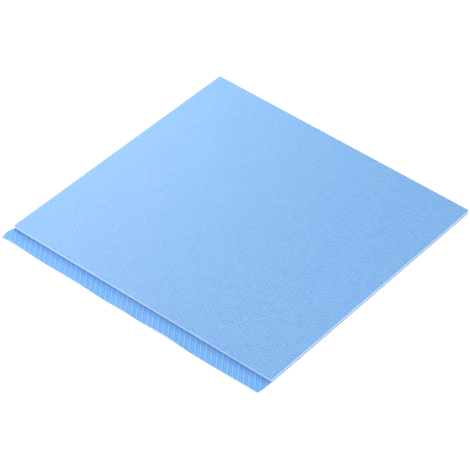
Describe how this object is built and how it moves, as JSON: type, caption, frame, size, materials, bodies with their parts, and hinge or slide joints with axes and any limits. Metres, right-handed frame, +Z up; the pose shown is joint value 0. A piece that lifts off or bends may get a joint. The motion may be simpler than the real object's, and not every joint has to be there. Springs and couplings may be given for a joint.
{
  "type": "thermal pad sheet",
  "caption": "Square sheet of soft blue silicone gap filler, lying on an embossed release liner that sticks out along one edge as a pull tab.",
  "frame": {"origin": "on the surface that the sheet lies on, under the middle of the pad and tab together", "axes": "+X along the pad's front edge, +Y from the pull tab towards the back edge, +Z up out of the pad's top face"},
  "size_m": [0.145, 0.154, 0.0019],
  "materials": {
    "silicone": "matt light blue silicone with a fine diamond emboss on its top face",
    "liner_film": "satin translucent blue film with fine diagonal ribs"
  },
  "bodies": {
    "root": {"silicone_pad": "silicone", "release_liner": "liner_film"}
  },
  "joints": []
}
